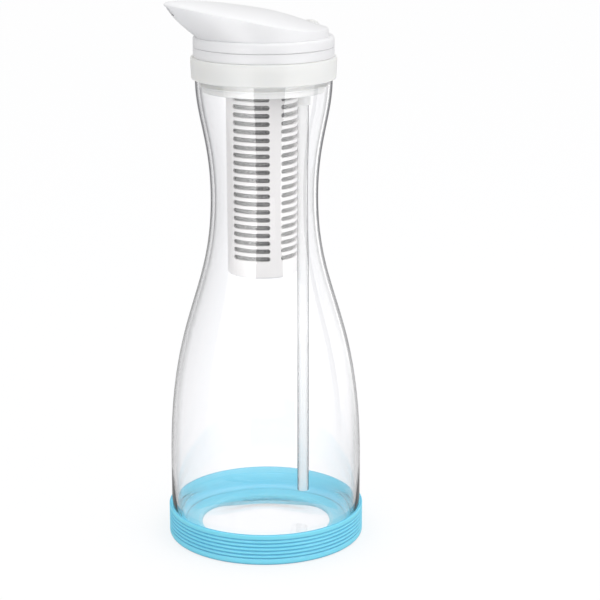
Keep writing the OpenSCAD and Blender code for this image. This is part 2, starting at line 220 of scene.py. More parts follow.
def fresh_graph(owner):
    """An empty tree for a material, a world or a lamp."""
    owner.use_nodes = True
    owner.node_tree.nodes.clear()
    return Graph(owner.node_tree)


def seen_level(graph, mirrored):
    """How white a ray finds the stage: 1 from the camera, less in a mirror, 0 for light on its way."""
    path = graph.node("ShaderNodeLightPath")
    through = path.output("Is Camera Ray").at_least(path.output("Is Transmission Ray") * THROUGH_GLASS)
    return through.at_least(path.output("Is Glossy Ray") * mirrored)


def make_floor():
    half = FLOOR_SIZE / 2
    mesh = bpy.data.meshes.new("floor")
    corners = [(-half, -half, 0), (half, -half, 0), (half, half, 0), (-half, half, 0)]
    mesh.from_pydata(corners, [], [(0, 1, 2, 3)])
    material = bpy.data.materials.new("paper")
    graph = fresh_graph(material)
    seen = seen_level(graph, MIRRORED_FLOOR)
    paper = graph.node("ShaderNodeBsdfDiffuse", {"Color": PAPER})
    lift = graph.node("ShaderNodeEmission", {"Color": WHITE, "Strength": seen * FLOOR_GLOW})
    share = seen.of("CEIL").at_most(1) * FLOOR_LIFT
    mixed = graph.node("ShaderNodeMixShader", {0: share, 1: paper, 2: lift})
    graph.node("ShaderNodeOutputMaterial", {"Surface": mixed})
    mesh.materials.append(material)
    new_object("floor", mesh)


def make_sky():
    world = bpy.data.worlds.new("sky")
    bpy.context.scene.world = world
    graph = fresh_graph(world)
    seen = seen_level(graph, MIRRORED_SKY)
    level = seen + (1 - seen.of("CEIL").at_most(1)) * SKY_LEVEL
    sky = graph.node("ShaderNodeBackground", {"Color": WHITE, "Strength": level})
    graph.node("ShaderNodeOutputWorld", {"Surface": sky})


make_floor()
make_sky()
print(f"floor of {FLOOR_SIZE:.0f} m and a white sky")

# %% [markdown]
# ## Light
# A soft sun, a large lamp at the right and two small ones in front add to the bright sky. Three cards
# round the carafe show only in gloss, as white boards do in a studio: two give the pale veils in the neck,
# and one clears the edge at the right. They dim towards the foot, so that no card ends in a hard line.

# %% Light
CARD_DISTANCE = 0.2
CARD_LIFT = 0.003


def make_lamp(name, azimuth, elevation, distance, size, power, aim=0.15, gloss=True):
    """A soft rectangular lamp that looks at a height on the axis. Azimuths count from the camera's."""
    lamp = bpy.data.lights.new(name, "AREA")
    lamp.shape = "RECTANGLE"
    lamp.size, lamp.size_y = size
    lamp.energy = power
    obj = new_object(name, lamp)
    turn = CAMERA_AZIMUTH + math.radians(azimuth)
    rise = math.radians(elevation)
    away = Vector((math.sin(turn) * math.cos(rise), -math.cos(turn) * math.cos(rise), math.sin(rise)))
    obj.location = Vector((0, 0, aim)) + distance * away
    obj.rotation_euler = away.to_track_quat("Z", "Y").to_euler()
    obj.visible_camera = False
    obj.visible_glossy = gloss
    return obj


def make_sun(name, power, softness):
    """Light from straight above, the same all over the floor, with a soft shadow."""
    sun = bpy.data.lights.new(name, "SUN")
    sun.energy = power
    sun.angle = math.radians(softness)
    new_object(name, sun)


def split(graph, vector):
    """The X of a vector. Its Y and Z are other outputs of the same node."""
    return graph.node("ShaderNodeSeparateXYZ", {0: vector})


def make_card(name, azimuth, size, power, left, right, fade):
    """An upright card of light that only shows in gloss, with a level at its left and at its right end.

    Towards its foot, over a share of its height that is given by fade, it dims to nothing.
    """
    card = make_lamp(name, azimuth, 0, CARD_DISTANCE, size, power, aim=CARD_LIFT + size[1] / 2)
    card.visible_diffuse = False
    card.visible_transmission = False
    graph = fresh_graph(card.data)
    along = split(graph, graph.node("ShaderNodeNewGeometry", output="Parametric"))
    level = (left + along * (right - left)) * (along.output("Y") / fade).at_most(1)
    glow = graph.node("ShaderNodeEmission", {"Strength": level})
    graph.node("ShaderNodeOutputLight", {"Surface": glow})


make_sun("high_sun", power=0.52, softness=70)
make_lamp("key_lamp", azimuth=55, elevation=35, distance=1.3, size=(0.9, 1.2), power=2.6)
make_lamp(
    "boot_lamp", azimuth=0, elevation=6, distance=0.7, size=(0.6, 0.15), power=0.22, aim=0.02, gloss=False,
)
make_lamp(
    "neck_lamp", azimuth=0, elevation=4, distance=0.6, size=(0.5, 0.2), power=0.08, aim=0.2, gloss=False,
)
make_card("left_card", azimuth=-41, size=(0.19, 0.27), power=0.65, left=0.25, right=2.0, fade=0.6)
make_card("right_card", azimuth=59, size=(0.2, 0.27), power=0.66, left=1.45, right=0.6, fade=0.6)
make_card("rim_card", azimuth=115, size=(0.15, 0.23), power=0.2, left=1.0, right=1.0, fade=0.4)
print("lamps:", [light.name for light in bpy.data.lights])

# %% [markdown]
# ## Finishes
# Every finish is one Principled shader. What is the same all over is set on its sockets, and only colour,
# roughness and bump vary. Patterns read Object coordinates, which are metres on the real thing, so a
# noise of scale 2000 has grains of half a millimetre. Silicone and thin white plastic let some light in,
# so they get a little subsurface scattering: without it, the hollow lid would look black inside.

# %% Finishes
finishes = {}


class Finish(Graph):
    """A material with a Principled shader, whose constant sockets are given by name with _ for a space."""

    def __init__(self, name, **constants):
        finishes[name] = bpy.data.materials.new(name)
        super().__init__(fresh_graph(finishes[name]).tree)
        surface = self.node("ShaderNodeBsdfPrincipled")
        self.node("ShaderNodeOutputMaterial", {"Surface": surface})
        self.shader = surface.socket.node
        for socket, value in constants.items():
            self.shader.inputs[socket.replace("_", " ")].default_value = value

    def place(self):
        return self.node("ShaderNodeTexCoord", output="Object")

    def noise(self, scale, detail=2.0, roughness=0.5, vector=None):
        sizes = {"Vector": vector or self.place(), "Scale": scale, "Detail": detail, "Roughness": roughness}
        return self.node("ShaderNodeTexNoise", sizes, output="Fac")

    def ramp(self, value, *stops):
        return self.node("ShaderNodeValToRGB", {0: value}, stops=stops)

    def facing(self):
        """0 where the surface faces the eye, 1 where one looks along it."""
        return self.node("ShaderNodeLayerWeight", {"Blend": 0.5}, output="Facing")

    def mix(self, factor, first, second):
        """A colour between two colours."""
        return self.node("ShaderNodeMix", {0: factor, 6: first, 7: second}, output=2, data_type="RGBA")

    def feed(self, **wires):
        for socket, wire in wires.items():
            self.tree.links.new(wire.socket, self.shader.inputs[socket.replace("_", " ")])

    def bump(self, height, depth, strength):
        """Raise the surface by height times depth, in metres."""
        sizes = {"Strength": strength, "Distance": depth, "Height": height}
        self.feed(Normal=self.node("ShaderNodeBump", sizes))


def make_white_plastic(name, deep, light, glow):
    """Moulded plastic with a satin skin and a fine grain. Glow is how much light its walls let through."""
    finish = Finish(
        name, IOR=1.46, Specular_IOR_Level=0.25,
        Subsurface_Weight=glow, Subsurface_Scale=0.004, Subsurface_Radius=(1.0, 1.0, 0.97),
    )
    cloud = finish.noise(45, 3)
    grain = finish.noise(2600, 2)
    finish.feed(Base_Color=finish.mix(cloud, deep, light), Roughness=0.30 + cloud * 0.06 + grain * 0.10)
    finish.bump(grain, 0.00002, 0.35)


make_white_plastic("white_plastic", shade(239, 239, 241), shade(244, 244, 245), 0.3)
make_white_plastic("cage_plastic", shade(239, 237, 236), shade(244, 242, 241), 0.0)
print("finishes:", *finishes)

# %% [markdown]
# ## Silicone
# Seals and boot are silicone rubber, which is matt and lets light in a little way. The boot's grooves get
# painted shade: its colour is darkest at the bottom of each groove. A groove is known by its radius, so the
# shader works that out from the place.

# %% Silicone
BOOT_R = 0.0565
GROOVE_DEPTH = 0.00075


def make_milky_silicone():
    """Silicone that lets light in a little way, with a warm tint and a dull skin that holds some dust."""
    finish = Finish(
        "milky_silicone", IOR=1.41, Specular_IOR_Level=0.4,
        Subsurface_Weight=0.55, Subsurface_Scale=0.006, Subsurface_Radius=(1.0, 0.95, 0.85),
    )
    cloud = finish.noise(60, 3)
    dust = finish.noise(3200, 1)
    milk = finish.mix(cloud, shade(238, 238, 234), shade(244, 244, 241))
    finish.feed(Base_Color=milk, Roughness=0.42 + dust * 0.14)
    finish.bump(dust, 0.00002, 0.3)


def make_blue_silicone():
    """Matt pool-blue silicone, deeper in cloudy patches, with painted shade in its grooves and pale dust.
    """
    finish = Finish(
        "blue_silicone", IOR=1.41, Specular_IOR_Level=0.4,
        Subsurface_Weight=0.25, Subsurface_Scale=0.003, Subsurface_Radius=(0.4, 0.9, 1.0),
    )
    spot = split(finish, finish.place())
    radius = (spot * spot + spot.output("Y") ** 2).of("SQRT")
    depth = (BOOT_R - radius) / GROOVE_DEPTH
    # painted shade: a mask that is 1 at the bottom of each groove and 0 on the ribs and on the inner face
    groove = (1 - (1 - depth).of("ABSOLUTE")).at_least(0)
    cloud = finish.noise(55, 4)
    dust = finish.noise(2800, 2)
    pool = finish.mix(cloud, shade(120, 220, 246), shade(136, 228, 250))
    dusted = finish.mix(dust * 0.14, pool, shade(205, 238, 250))
    # painted shade: the grooves are mixed towards a deep blue
    groove_shaded = finish.mix(groove * 0.75, dusted, shade(58, 152, 196))
    finish.feed(Base_Color=groove_shaded, Roughness=0.45 + dust * 0.15)
    finish.bump(dust, 0.00003, 0.35)


make_milky_silicone()
make_blue_silicone()
print("finishes:", *finishes)

# %% [markdown]
# ## Clear finishes
# Glass shows by its edges. The dark edges are painted shade: a curve over the angle of view darkens the
# colour where one looks along the glass, more in the narrow neck than in the wide belly.

# %% Clear finishes
# Heights and level over which the painted edge shade grows from the belly to the neck
BELLY_EDGE_SHADE_Z = 0.08
NECK_EDGE_SHADE_Z = 0.19
BELLY_EDGE_SHADE = 0.45


def make_clear_glass():
    """Blown glass: clear, with a slow ripple, and painted shade on its edges, most in the neck."""
    finish = Finish("clear_glass", Transmission_Weight=1.0, IOR=1.5, Roughness=0.0)
    # painted shade: the colour darkens where one looks along the glass
    edge = finish.ramp(finish.facing(), (0.05, 0.0), (0.21, 0.05), (0.45, 0.17), (0.66, 0.25), (0.8, 1.0))
    height = split(finish, finish.place()).output("Z")
    # how strong the painted edge shade is: less in the belly, full in the neck
    edge_shade_weight = finish.node("ShaderNodeMapRange", {
        "Value": height, "From Min": BELLY_EDGE_SHADE_Z, "From Max": NECK_EDGE_SHADE_Z, "To Min": BELLY_EDGE_SHADE,
    })
    finish.feed(Base_Color=finish.mix(edge * edge_shade_weight, shade(254, 254, 255), shade(31, 31, 37)))
    finish.bump(finish.noise(28, 1), 0.0004, 0.12)


def make_clear_plastic():
    """Extruded tube: slightly milky plastic with painted shade on its edges and faint lines along its
    length.
    """
    finish = Finish("clear_plastic", Transmission_Weight=0.6, IOR=1.45)
    # painted shade: the colour darkens where one looks along the tube's surface
    edge = finish.ramp(finish.facing(), (0.3, 0.0), (0.6, 1.0))
    along = {"Vector": finish.place(), "Scale": (1, 1, 0.004)}
    lines = finish.noise(1500, 1, vector=finish.node("ShaderNodeMapping", along))
    clear = finish.mix(edge, shade(250, 250, 250), shade(45, 46, 48))
    finish.feed(Base_Color=clear, Roughness=0.03 + lines * 0.04)


make_clear_glass()
make_clear_plastic()
print("finishes:", *finishes)

# %% [markdown]
# ## Finishes of the filter
# Mesh, granules and felt are seen small, through the slots, so each has one pattern that sets its colour,
# its roughness and, but for the mesh, its bump. The granules get a shade each from a cell pattern.


# %% Finishes of the filter
def make_grey_mesh():
    """Fine woven wire, pale grey with a metal's sheen."""
    finish = Finish("grey_mesh", Metallic=0.8)
    thread = finish.noise(1800, 2)
    wire = finish.mix(thread, shade(196, 196, 196), shade(226, 226, 225))
    finish.feed(Base_Color=wire, Roughness=0.45 + thread * 0.2)


def make_dark_granules():
    """Crushed carbon with paler mineral grains between, each with its own shade."""
    finish = Finish("dark_granules", Specular_IOR_Level=0.35)
    cell = finish.node("ShaderNodeTexVoronoi", {"Vector": finish.place(), "Scale": 620}, output="Color")
    pale = finish.ramp(finish.node("ShaderNodeSeparateColor", {0: cell}), (0.62, 0.0), (0.80, 1.0))
    pits = finish.noise(3000, 3)
    grain = finish.mix(pale, shade(52, 52, 54), shade(150, 148, 144))
    finish.feed(Base_Color=finish.mix(pits * 0.5, grain, shade(24, 24, 25)), Roughness=0.55 + pits * 0.3)
    finish.bump(pits, 0.0001, 0.6)


def make_white_felt():
    """Pressed polyester felt: short fibres in all directions."""
    finish = Finish("white_felt", Specular_IOR_Level=0.1, Sheen_Weight=0.3)
    fibre = finish.noise(1600, 5, 0.7)
    felt = finish.mix(fibre, shade(214, 214, 210), shade(242, 242, 240))
    finish.feed(Base_Color=felt, Roughness=0.8 + fibre * 0.15)
    finish.bump(fibre, 0.0002, 0.6)


make_grey_mesh()
make_dark_granules()
make_white_felt()
print("finishes:", *finishes)

# %% [markdown]
# ## Turned pieces
# Glass, boot, seal and tube are all round, so each is one outline turned about an axis. The outline is a
# few points with rounded corners, or a curve, and the turning is a loop over many steps, because clear
# glass shows every facet.

# %% Turned pieces
POLE_R = 1e-7
TURN_STEPS = 160


def arc(centre, radius, start, end, steps):
    """Points on an arc, angles in degrees, without its first point."""
    turns = [math.radians(start + (end - start) * i / steps) for i in range(1, steps + 1)]
    return [(centre[0] + radius * math.cos(t), centre[1] + radius * math.sin(t)) for t in turns]


def bezier(first, second, third, last, steps):
    """Points on a cubic Bezier curve, without its first point."""
    points = []
    for i in range(1, steps + 1):
        t = i / steps
        u = 1 - t
        weights = (u * u * u, 3 * u * u * t, 3 * u * t * t, t * t * t)
        corners = (first, second, third, last)
        points.append(tuple(sum(w * c[axis] for w, c in zip(weights, corners)) for axis in (0, 1)))
    return points


def turn_outwards(work):
    bmesh.ops.recalc_face_normals(work, faces=work.faces)


def solid(name, work):
    """An object from a bmesh, with its faces turned outwards."""
    turn_outwards(work)
    mesh = bpy.data.meshes.new(name)
    work.to_mesh(mesh)
    work.free()
    return new_object(name, mesh)


def turn(name, outline, segments=TURN_STEPS, axis_x=0.0):
    """Turn a closed outline of (radius, height) points about an upright axis. Points on it become poles."""
    work = bmesh.new()
    angles = [math.tau * k / segments for k in range(segments)]
    rings = []
    for radius, height in outline:
        spots = [(axis_x + radius * math.cos(a), radius * math.sin(a), height) for a in angles]
        if radius < POLE_R:
            spots = [(axis_x, 0, height)]
        rings.append([work.verts.new(spot) for spot in spots])
    for i, ring in enumerate(rings):
        following = rings[(i + 1) % len(rings)]
        if len(ring) == 1 and len(following) == 1:
            continue
        for k in range(segments):
            n = (k + 1) % segments
            near = [ring[k % len(ring)], ring[n % len(ring)]]
            far = [following[n % len(following)], following[k % len(following)]]
            work.faces.new(list(dict.fromkeys(near + far)))
    obj = solid(name, work)
    obj.data.shade_smooth()
    return obj


def seat(obj, slot, node, finish=None):
    """Give a piece its slot's finish, or another, and let it stand for a CAD node and ride on its body."""
    obj.data.materials.clear()
    obj.data.materials.append(finishes[finish or slot])
    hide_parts(node)
    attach(obj, frame["nodes"][node]["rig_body"])
    print(f"{obj.name}: {len(obj.data.polygons)} faces")


flatness = 50 * (1 - math.cos(math.pi / TURN_STEPS))
print(f"{TURN_STEPS} steps round a circle of 100 mm stay within {flatness:.3f} mm of it")

# %% [markdown]
# ## Glass
# The carafe is blown: a straight body draws in to a waist and flares out to the mouth. Two Bezier curves
# make the side, the inner wall is the same curve one wall thickness inside, and arcs close the heel and
# the rim. A shallow punt lifts the middle of the underside.

# %% Glass
BODY_R = 0.0549
WAIST_R = 0.0302
MOUTH_R = 0.0381
SHOULDER_Z = 0.042
WAIST_Z = 0.200
NECK_Z = 0.266
GLASS_T = 0.0022
GLASS_FLOOR_T = 0.005
GLASS_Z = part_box("glass_carafe")[0].z
RIM_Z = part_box("glass_carafe")[1].z


def glass_side(inset):
    """The glass from shoulder to neck, drawn in by inset."""
    body, waist, mouth = BODY_R - inset, WAIST_R - inset, MOUTH_R - inset
    belly_pull, waist_pull_below, waist_pull_above, flare_pull = 0.092, 0.059, 0.032, 0.021
    shoulder, neck, throat = (body, SHOULDER_Z), (waist, WAIST_Z), (mouth, NECK_Z)
    lower = bezier(
        shoulder, (body, SHOULDER_Z + belly_pull), (waist, WAIST_Z - waist_pull_below), neck, 56,
    )
    upper = bezier(neck, (waist, WAIST_Z + waist_pull_above), (mouth, NECK_Z - flare_pull), throat, 32)
    return [shoulder, *lower, *upper]


def glass_outline():
    heel, inner_heel = 0.006, 0.009
    punt_r, punt_rim, punt_h = 0.034, 0.040, 0.0022
    floor_dome = 0.001
    inside = BODY_R - GLASS_T
    floor_z = GLASS_Z + GLASS_FLOOR_T
    punt_top = (0, GLASS_Z + punt_h)
    rim = (MOUTH_R - GLASS_T / 2, RIM_Z - GLASS_T / 2)
    dome_edge = (inside - inner_heel, floor_z)
    dome_top = (0, floor_z + floor_dome)
    return [
        punt_top,
        *bezier(punt_top, (punt_r * 0.6, punt_top[1]), (punt_r * 0.9, GLASS_Z), (punt_rim, GLASS_Z), 16),
        (BODY_R - heel, GLASS_Z),
        *arc((BODY_R - heel, GLASS_Z + heel), heel, -90, 0, 14),
        *glass_side(0),
        *arc(rim, GLASS_T / 2, 0, 180, 12),
        *reversed(glass_side(GLASS_T)),
        *arc((inside - inner_heel, floor_z + inner_heel), inner_heel, 0, -90, 16),
        *bezier(dome_edge, (dome_edge[0] * 0.66, floor_z), (0.012, dome_top[1]), dome_top, 12),
    ]


glass = turn("glass", glass_outline(), 200)
glass.visible_shadow = False
glass.visible_diffuse = False
seat(glass, "clear_glass", "glass_carafe")

# %% [markdown]
# ## Boot
# The boot is stretched over the heel of the glass. Six grooves run round it, and the silicone between two
# grooves bulges like a cord. A half sine from groove to groove draws that bulge, so the ribs are real
# shape and not a bump.

# %% Boot
BOOT_H = 0.018
BOOT_SLIP = 0.0001
BOOT_FLOOR_T = GLASS_Z
BOOT_WINDOW_R = 0.038
GROOVES = 6
GROOVE_PITCH = 0.0022
FIRST_GROOVE_Z = 0.0039


def boot_outline():
    outside, inside = BOOT_R, BODY_R + BOOT_SLIP
    toe, lip, inner_fillet = 0.0016, 0.0007, 0.005
    foot_edge, mouth_edge, window_edge = 0.0004, 0.0003, 0.0006
    shoulder, entry, rib_steps = 0.0008, 0.3, 12
    last_groove_z = FIRST_GROOVE_Z + (GROOVES - 1) * GROOVE_PITCH
    ribs = []
    for i in range((GROOVES - 1) * rib_steps + 1):
        bulge = math.sin(math.pi * (i % rib_steps) / rib_steps)
        ribs.append((outside - GROOVE_DEPTH * (1 - bulge), FIRST_GROOVE_Z + i * GROOVE_PITCH / rib_steps))
    return [
        (BOOT_WINDOW_R, foot_edge),
        (BOOT_WINDOW_R + foot_edge, 0),
        (outside - toe, 0),
        *arc((outside - toe, toe), toe, -90, 0, 8),
        (outside, FIRST_GROOVE_Z - shoulder),
        (outside - GROOVE_DEPTH * entry, FIRST_GROOVE_Z - shoulder * entry),
        *ribs,
        (outside - GROOVE_DEPTH * entry, last_groove_z + shoulder * entry),
        (outside, last_groove_z + shoulder),
        (outside, BOOT_H - lip),
        *arc((outside - lip, BOOT_H - lip), lip, 0, 90, 6),
        (inside + mouth_edge, BOOT_H),
        (inside, BOOT_H - mouth_edge),
        (inside, BOOT_FLOOR_T + inner_fillet),
        *arc((inside - inner_fillet, BOOT_FLOOR_T + inner_fillet), inner_fillet, 0, -90, 8),
        (BOOT_WINDOW_R + window_edge, BOOT_FLOOR_T),
        (BOOT_WINDOW_R, BOOT_FLOOR_T - window_edge),
    ]


seat(turn("boot", boot_outline(), 200), "blue_silicone", "base_boot")

# %% [markdown]
# ## Neck seal
# The seal hooks over the rim of the glass: a collar outside, a web on top and a skirt with three lips
# inside. Its corners are soft, because silicone leaves its mould that way, so the outline is rounded all
# round.

# %% Neck seal
SEAT_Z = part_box("neck_seal")[1].z
COLLAR_R = 0.0405
COLLAR_H = 0.0122
SEAL_SKIRT_H = 0.019
THROAT_R = 0.0314
SEAL_GAP = 0.0001
SKIRT_GAP = 0.0016
LIP_GAP = 0.00015
SKIRT_R = MOUTH_R - GLASS_T - SKIRT_GAP
LIP_R = MOUTH_R - GLASS_T - LIP_GAP
GRIP_R = MOUTH_R + SEAL_GAP
LIPS = 3
LIP_PITCH = 0.0038
SECOND_LIP_Z = NECK_Z + 0.0012
FIRST_LIP_Z = SECOND_LIP_Z - LIP_PITCH


def rounded(outline, radius, steps=4):
    """A closed outline with small curves for corners, apart from those on the axis, which become poles."""
    points = []
    count = len(outline)
    nearly_half = 0.45
    for i, corner in enumerate(outline):
        if corner[0] == 0:
            points.append(corner)
            continue
        corner = Vector(corner)
        before = Vector(outline[i - 1]) - corner
        after = Vector(outline[(i + 1) % count]) - corner
        reach = min(radius, before.length * nearly_half, after.length * nearly_half)
        start = corner + before.normalized() * reach
        end = corner + after.normalized() * reach
        for k in range(steps + 1):
            t = k / steps
            points.append(tuple((1 - t) ** 2 * start + 2 * t * (1 - t) * corner + t * t * end))
    return points


def seal_outline():
    collar_z, skirt_z, web_z = SEAT_Z - COLLAR_H, SEAT_Z - SEAL_SKIRT_H, RIM_Z + SEAL_GAP
    taper, taper_h, corner = 0.0004, 0.003, 0.0018
    root, crest = 0.0009, 0.0003
    lips = []
    for i in range(LIPS):
        middle = FIRST_LIP_Z + i * LIP_PITCH
        for radius, offset in ((SKIRT_R, -root), (LIP_R, -crest), (LIP_R, crest), (SKIRT_R, root)):
            lips.append((radius, middle + offset))
    return rounded([
        (GRIP_R, collar_z), (COLLAR_R - taper, collar_z), (COLLAR_R, SEAT_Z - taper_h), (COLLAR_R, SEAT_Z),
        (THROAT_R, SEAT_Z), (THROAT_R, skirt_z), (SKIRT_R, skirt_z),
        *lips, (SKIRT_R, web_z), (GRIP_R, web_z),
    ], corner)


seat(turn("seal", seal_outline()), "milky_silicone", "neck_seal")

# %% [markdown]
# ## Geometry Nodes
# What repeats, or follows a formula, is grown by a Geometry Nodes tree. Each tree is built here, with its
# sizes as named inputs, so one tree can make two pieces of different size. A modifier runs the tree once,
# and the result is kept as a plain mesh, because a finished piece has to stand without its recipe.


# %% Geometry Nodes
def new_tree(name, **sizes):
    """A geometry tree with named inputs, and the wires of those inputs by name."""
    tree = bpy.data.node_groups.new(name, "GeometryNodeTree")
    tree.interface.new_socket("blank", in_out="INPUT", socket_type="NodeSocketGeometry")
    for label, value in sizes.items():
        kind = "NodeSocketInt" if isinstance(value, int) else "NodeSocketFloat"
        tree.interface.new_socket(label, in_out="INPUT", socket_type=kind).default_value = value
    tree.interface.new_socket("finish", in_out="INPUT", socket_type="NodeSocketMaterial")
    tree.interface.new_socket("shape", in_out="OUTPUT", socket_type="NodeSocketGeometry")
    graph = Graph(tree)
    entry = graph.node("NodeGroupInput")
    return graph, {label: entry.output(label) for label in ("blank", *sizes, "finish")}


def realize(graph, shape):
    return graph.node("GeometryNodeRealizeInstances", {0: shape})


def end_tree(graph, shape, finish):
    painted = {"Geometry": realize(graph, shape), "Material": finish}
    graph.node("NodeGroupOutput", {0: graph.node("GeometryNodeSetMaterial", painted)})
    return graph.tree


def harden(obj):
    """Replace an object's mesh by what its modifiers make of it, and remove them."""
    evaluated = obj.evaluated_get(bpy.context.evaluated_depsgraph_get())
    obj.data = bpy.data.meshes.new_from_object(evaluated)
    obj.data.name = obj.name
    obj.modifiers.clear()


def grow(obj, tree, finish, **sizes):
    """Run a tree on an object with these sizes. Sizes that aren't given keep the tree's own value."""
    modifier = obj.modifiers.new(tree.name, "NODES")
    modifier.node_group = tree
    sockets = {item.name: item.identifier for item in tree.interface.items_tree if item.in_out == "INPUT"}
    for label, value in {"finish": finishes[finish], **sizes}.items():
        modifier[sockets[label]] = value
    harden(obj)
    return obj


def empty(name):
    return new_object(name, bpy.data.meshes.new(name))


print(f"trees are grown by Blender {bpy.app.version_string}")

# %% [markdown]
# ## Beak
# The beak is one rule: its edge lies on a sheet that is level at the tail and bends up to the tip, the
# side climbs from a round foot to that edge, and the roof bulges over the sheet. A grid whose points are
# moved by the rule is the whole loft. The hollow inside is the same tree with smaller sizes.

# %% Beak
BASE_RING_H = 0.0054
CAP_RING_H = 0.0058
PART_Z = SEAT_Z + BASE_RING_H
RING_Z = PART_Z + CAP_RING_H
LID_R = 0.039
SLIP = 0.0001
CAP_T = 0.0022
BEAK_REACH = 0.058
BEAK_RISE = 0.0196
TAIL_R = 0.0355
TAIL_RISE = 0.0038
FOOT_R = 0.0363
FOOT_Z = RING_Z - 0.0014
BEND_X = 0.0138
BEND_W = 0.0072
CROWN_RISE = 0.0075
BEAK_PUFF = 0.72
TAIL_PUFF = 1.3
BEAK_SPREAD = 26
TIP_ROUND = 3
SIDE_BOW = 0.1
SOFT_EDGE = 0.03
CROWDING = 1.5
PUFF_SHIFT = 3
TIP_T = 0.007
HOLLOW_DROP = 0.002
SAME_SPOT = 0.000001
FULL_BEND = math.log(1 + math.exp((BEAK_REACH + BEND_X) / BEND_W))


def sheet_height(s):
    """Height of the edge's sheet at a distance from the axis towards the beak, as a wire."""
    bend = (((s + BEND_X) / BEND_W).of("EXPONENT") + 1).log(math.e)
    return RING_Z + TAIL_RISE + bend * ((BEAK_RISE - TAIL_RISE) / FULL_BEND)


def point(graph, x=0.0, y=0.0, z=0.0):
    return graph.node("ShaderNodeCombineXYZ", {0: x, 1: y, 2: z})


def beak_tree():
    graph, size = new_tree(
        "beak", reach=BEAK_REACH, tail=TAIL_R, foot=FOOT_R, foot_z=FOOT_Z, drop=0.0, columns=161, rows=61,
    )
    sides = {"Size X": 2.0, "Size Y": 2.0, "Vertices X": size["columns"], "Vertices Y": size["rows"]}
    grid = graph.node("GeometryNodeMeshGrid", sides, output="Mesh")
    across = split(graph, graph.node("GeometryNodeInputPosition"))
    along = across.output("Y") + 1
    row = 2 / (size["rows"] - 1)
    angle = across.of("SIGN") * across.of("ABSOLUTE") ** CROWDING * math.pi
    degrees = angle.of("ABSOLUTE") * (180 / math.pi)
    fade = ((TIP_ROUND - (degrees * degrees + TIP_ROUND ** 2).of("SQRT")) / BEAK_SPREAD).of("EXPONENT")
    edge = size["tail"] + (size["reach"] - size["tail"]) * fade
    rise = (along / (1 - row)).at_most(1) * (1 - SOFT_EDGE)
    inward = (2 - along).at_most(1) * (1 - SOFT_EDGE)
    swell = rise + (rise * math.pi).of("SINE") * SIDE_BOW
    side_r = size["foot"] + (edge - size["foot"]) * swell
    climb = sheet_height(edge * angle.of("COSINE")) - size["drop"] - size["foot_z"]
    side_z = size["foot_z"] + climb * rise
    roof_r = inward * edge
    puff = BEAK_PUFF + ((1 - angle.of("COSINE")) / 2) ** PUFF_SHIFT * (TAIL_PUFF - BEAK_PUFF)
    bulge = (1 - inward * inward) ** puff * CROWN_RISE
    roof_z = sheet_height(roof_r * angle.of("COSINE")) - size["drop"] + bulge
    on_side = along < 1 - row / 2
    radius = on_side * side_r + (1 - on_side) * roof_r
    height = on_side * side_z + (1 - on_side) * roof_z
    x, y = -1 * radius * angle.of("COSINE"), radius * angle.of("SINE")
    spot = point(graph, x, y, height)
    placed = graph.node("GeometryNodeSetPosition", {"Geometry": grid, "Position": spot})
    closed = graph.node("GeometryNodeMergeByDistance", {"Geometry": placed, "Distance": SAME_SPOT})
    return end_tree(graph, closed, size["finish"])


def rework(obj, *steps):
    """Take an object's mesh through some steps as a bmesh."""
    work = bmesh.new()
    work.from_mesh(obj.data)
    for step in steps:
        step(work)
    work.to_mesh(obj.data)
    work.free()
    return obj


def fill_holes(work):
    bmesh.ops.holes_fill(work, edges=[edge for edge in work.edges if edge.is_boundary])


def beak_loft(name, **sizes):
    """A loft of the beak, with its open foot filled."""
    return rework(grow(empty(name), beak, "white_plastic", **sizes), fill_holes, turn_outwards)


beak = beak_tree()
outer_beak = beak_loft("spout_cap")
inner_beak = beak_loft(
    "beak_hollow", reach=BEAK_REACH - TIP_T, tail=TAIL_R - CAP_T, foot=FOOT_R - CAP_T,
    foot_z=FOOT_Z - HOLLOW_DROP, drop=CAP_T,
)
print(f"beak: {len(outer_beak.data.vertices)} points outside, {len(inner_beak.data.vertices)} inside")

# %% [markdown]
# ## Joining and cutting
# Mouldings are joined and cut by exact Booleans with plain solids: rounds, tubes and straight bars. A
# Boolean can leave points a few micrometres apart, which would spoil the next one, so each is followed by
# a short clean-up.

# %% Joining and cutting
NEAR = 5e-6


def smooth(obj, sharp_angle=35):
    """Smooth shading that keeps edges sharper than an angle."""
    obj.data.shade_smooth()
    obj.data.set_sharp_from_angle(angle=math.radians(sharp_angle))


def join_near(work):
    """Join points that a Boolean left a few micrometres apart, so that no sliver is left."""
    bmesh.ops.remove_doubles(work, verts=work.verts, dist=NEAR)
    bmesh.ops.triangulate(work, faces=[face for face in work.faces if len(face.verts) > 4])
    bmesh.ops.dissolve_degenerate(work, edges=work.edges, dist=NEAR)


def carve(obj, operation, *tools):
    """Join or cut an object with solid tools, one by one, and remove the tools."""
    for tool in tools:
        boolean = obj.modifiers.new(tool.name, "BOOLEAN")
        boolean.operation = operation
        boolean.solver = "EXACT"
        boolean.object = tool
        harden(obj)
        rework(obj, join_near, fill_holes)
        bpy.data.objects.remove(tool)
    return obj


def prism(name, outline, start, end, spot):
    """A straight bar between two depths, whose outline point (u, v) at a depth w lies at spot(u, v, w)."""
    work = bmesh.new()
    ends = [[work.verts.new(spot(u, v, w)) for u, v in outline] for w in (start, end)]
    for i in range(len(outline)):
        n = (i + 1) % len(outline)
        work.faces.new((ends[0][i], ends[0][n], ends[1][n], ends[1][i]))
    for ring in ends:
        work.faces.new(ring)
    return solid(name, work)


def disc(radius, low, high):
    return [(0, low), (radius, low), (radius, high), (0, high)]


def plain_round(name, radius, low, high, axis_x=0.0, segments=96):
    return turn(name, disc(radius, low, high), segments, axis_x)


